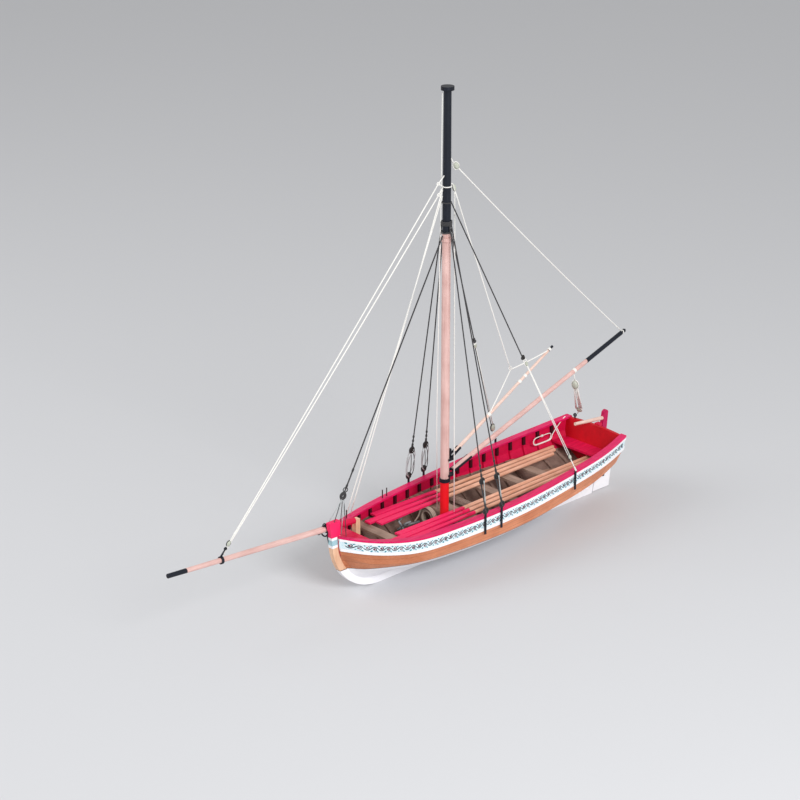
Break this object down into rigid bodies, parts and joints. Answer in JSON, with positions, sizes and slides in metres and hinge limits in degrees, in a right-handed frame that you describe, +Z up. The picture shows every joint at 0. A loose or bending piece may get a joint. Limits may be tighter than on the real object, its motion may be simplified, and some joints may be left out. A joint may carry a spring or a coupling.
{
  "type": "ship's longboat scale model",
  "caption": "Scale model of an open, gaff-rigged ship's longboat with mast, bowsprit, rudder, oars and standing rigging.",
  "frame": {"origin": "on the centreline amidships, at the height of the painted waterline", "axes": "+X forward to the bowsprit, +Y to port, +Z up"},
  "size_m": [0.262, 0.0513, 0.206],
  "materials": {
    "black_iron": "black satin paint",
    "deadeye_wood": "dark stained",
    "floor_wood": "matt wood",
    "frame_wood": "matt stained wood, red above the thwarts",
    "frieze_paint": "painted scroll band",
    "hemp_rope": "light twisted cord",
    "oar_wood": "satin varnish, red blades",
    "planking": "varnished planking, white painted below the waterline",
    "red_paint": "red satin paint",
    "spar_wood": "satin varnish, black at the ends",
    "stem_wood": "varnished, painted red at the head and white below the waterline",
    "tarred_rope": "dark twisted cord",
    "tholes": "dark stained",
    "thwart_wood": "matt wood",
    "white_bottom": "white paint",
    "white_paint": "white satin paint"
  },
  "bodies": {
    "hull": {"anchor_warp": "hemp_rope", "backstays": "tarred_rope", "bowsprit": "spar_wood", "bowsprit_post": "spar_wood", "breasthook": "red_paint", "cap_rails": "red_paint", "chainplates": "black_iron", "cockpit_sole": "floor_wood", "floorboards": "floor_wood", "fore_platform": "floor_wood", "forestay": "tarred_rope", "frames": "frame_wood", "frieze_bands": "frieze_paint", "gammon_iron": "black_iron", "grapnel": "black_iron", "gudgeons": "black_iron", "hull_port": "planking", "hull_starboard": "planking", "jib_stay": "hemp_rope", "keel": "white_bottom", "lower_deadeyes": "deadeye_wood", "lower_mouldings": "white_paint", "mast": "spar_wood", "mast_cap": "black_iron", "mast_irons": "black_iron", "oars_port": "oar_wood", "oars_starboard": "oar_wood", "risers": "frame_wood", "sheet_eye": "black_iron", "sheet_hank": "hemp_rope", "shrouds": "tarred_rope", "stem": "stem_wood", "stern_bench": "red_paint", "sternpost": "stem_wood", "thole_pins": "tholes", "thwart_after": "thwart_wood", "thwart_bow": "thwart_wood", "thwart_main": "thwart_wood", "thwart_mast": "thwart_wood", "thwart_stroke": "thwart_wood", "transom": "red_paint", "traveller": "black_iron", "upper_deadeyes": "deadeye_wood", "upper_mouldings": "white_paint", "windlass": "floor_wood"},
    "rudder": {"rudder": "stem_wood", "rudder_irons": "black_iron", "tiller": "spar_wood"},
    "boom": {"boom": "spar_wood", "boom_jaws": "black_iron", "topping_lift": "hemp_rope"},
    "gaff": {"gaff": "spar_wood", "gaff_jaws": "black_iron"}
  },
  "joints": [
    {"name": "rudder_swing", "type": "hinge", "parent": "hull", "child": "rudder", "pos_m": [-0.07777, 0, 0], "axis": [-0.1633, 0, 0.9866], "range_deg": [-35, 35]},
    {"name": "boom_swing", "type": "hinge", "parent": "hull", "child": "boom", "pos_m": [0.0186, 0, 0.028], "axis": [0, 0, 1], "range_deg": [-9, 9]},
    {"name": "gaff_swing", "type": "hinge", "parent": "hull", "child": "gaff", "pos_m": [0.0186, 0, 0.036], "axis": [0, 0, 1], "range_deg": [-9, 9]}
  ]
}
